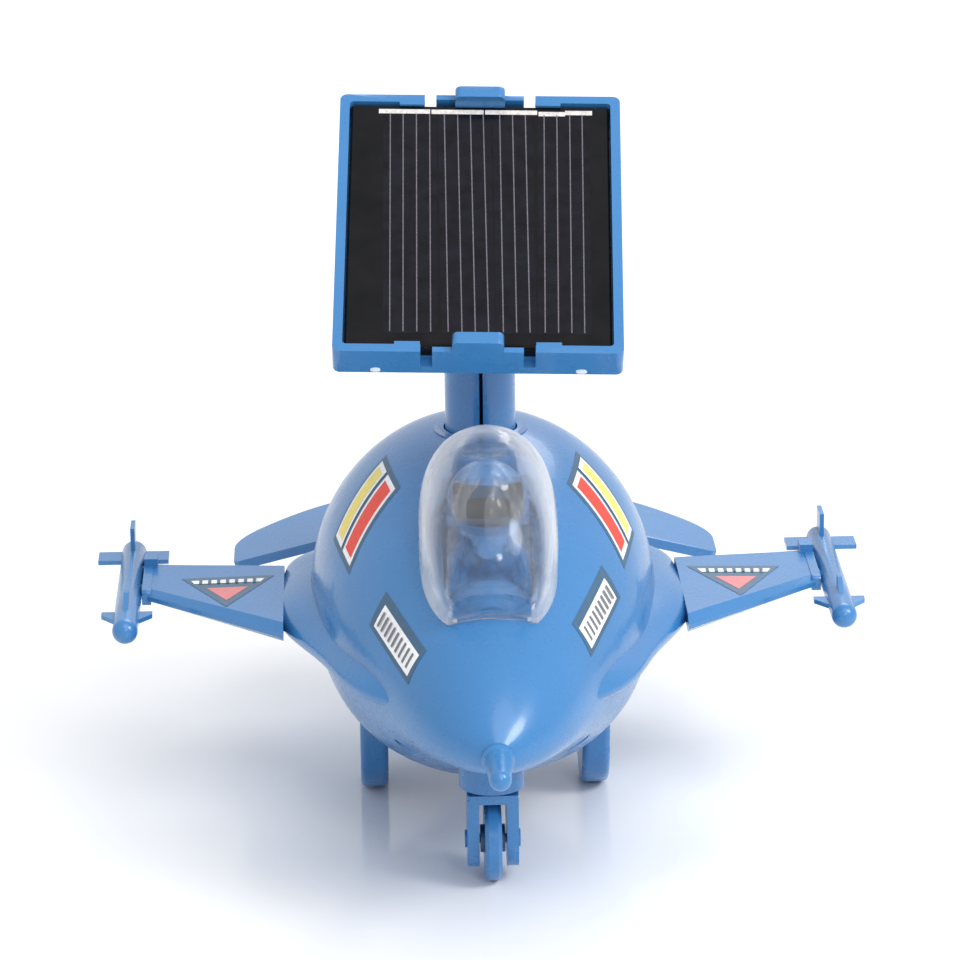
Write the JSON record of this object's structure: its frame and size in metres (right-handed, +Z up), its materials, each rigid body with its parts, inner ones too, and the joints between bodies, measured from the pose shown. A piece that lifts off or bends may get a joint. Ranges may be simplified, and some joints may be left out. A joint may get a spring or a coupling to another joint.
{
  "type": "solar toy jet plane",
  "caption": "Toy jet plane with a solar panel on a ball-jointed mast, a geared rear axle, a swivelling nose wheel and a hinged clear canopy.",
  "frame": {"origin": "on the floor, under the middle of the bounding box", "axes": "+Z up, nose towards -Y, left wing towards +X"},
  "size_m": [0.173, 0.1833, 0.1578],
  "materials": {
    "blue_abs": "satin gloss moulded ABS",
    "clear_plastic": "clear polystyrene",
    "visor_black": "high gloss",
    "cell": "clear epoxy over black cells",
    "white_nylon": "moulded",
    "steel": "bright",
    "brass": "turned"
  },
  "bodies": {
    "fuselage": {"upper_shell": "blue_abs", "lower_shell": "blue_abs", "nose_probe": "blue_abs", "wing_left": "blue_abs", "wing_right": "blue_abs", "missile_left": "blue_abs", "missile_right": "blue_abs", "tailplane_left": "blue_abs", "tailplane_right": "blue_abs", "nozzle": "blue_abs", "nozzle_plate": "blue_abs", "cockpit_tub": "blue_abs", "seat": "blue_abs", "instrument_panel": "blue_abs", "pilot_body": "blue_abs", "helmet": "blue_abs", "oxygen_mask": "blue_abs", "visor": "visor_black", "canopy_pin": "steel", "mast_retainer": "blue_abs", "retainer_screws": "steel", "axle_bush_left": "brass", "axle_bush_right": "brass", "gearbox_frame": "white_nylon", "gear_pins": "steel", "gearbox_screws": "steel", "motor": "steel", "motor_screws": "steel", "shell_screws": "steel"},
    "canopy": {"canopy": "clear_plastic"},
    "mast": {"mast": "blue_abs"},
    "panel": {"ball_socket": "blue_abs", "panel_tray": "blue_abs", "solar_cell": "cell"},
    "caster": {"caster_fork": "blue_abs", "caster_axle": "blue_abs", "caster_screw": "steel"},
    "caster_wheel": {"caster_wheel": "blue_abs"},
    "rear_axle": {"rear_axle": "steel", "rear_wheel_left": "blue_abs", "rear_wheel_right": "blue_abs", "axle_gear": "white_nylon"},
    "idler": {"idler_gear": "white_nylon"},
    "compound": {"compound_gear": "white_nylon"},
    "motor_rotor": {"motor_shaft": "steel", "motor_pinion": "brass"}
  },
  "joints": [
    {"name": "canopy_hinge", "type": "hinge", "parent": "fuselage", "child": "canopy", "pos_m": [0, -0.0085, 0.088], "axis": [-1, 0, 0], "range_deg": [0, 32]},
    {"name": "mast_swivel", "type": "hinge", "parent": "fuselage", "child": "mast", "pos_m": [0, 0.016, 0.081], "axis": [0, 0, 1], "range_deg": [-170, 170]},
    {"name": "panel_tilt", "type": "hinge", "parent": "mast", "child": "panel", "pos_m": [0, 0.016, 0.1198], "axis": [1, 0, 0], "range_deg": [-72, 3]},
    {"name": "caster_swivel", "type": "hinge", "parent": "fuselage", "child": "caster", "pos_m": [0, -0.0349, 0.021], "axis": [0, 0, 1], "continuous": true},
    {"name": "caster_wheel_spin", "type": "hinge", "parent": "caster", "child": "caster_wheel", "pos_m": [0, -0.0349, 0.0091], "axis": [1, 0, 0], "continuous": true},
    {"name": "axle_spin", "type": "hinge", "parent": "fuselage", "child": "rear_axle", "pos_m": [0, 0.0243, 0.0172], "axis": [1, 0, 0], "continuous": true},
    {"name": "idler_spin", "type": "hinge", "parent": "fuselage", "child": "idler", "pos_m": [0, 0.01825, 0.02584], "axis": [1, 0, 0], "continuous": true},
    {"name": "compound_spin", "type": "hinge", "parent": "fuselage", "child": "compound", "pos_m": [0, 0.01132, 0.03166], "axis": [1, 0, 0], "continuous": true},
    {"name": "motor_spin", "type": "hinge", "parent": "fuselage", "child": "motor_rotor", "pos_m": [0, 0.0091, 0.03992], "axis": [1, 0, 0], "continuous": true}
  ],
  "couplings": [
    {"joint": "idler_spin", "follows": "axle_spin", "ratio": -0.5},
    {"joint": "compound_spin", "follows": "axle_spin", "ratio": 1.75},
    {"joint": "motor_spin", "follows": "axle_spin", "ratio": -5.6875}
  ]
}
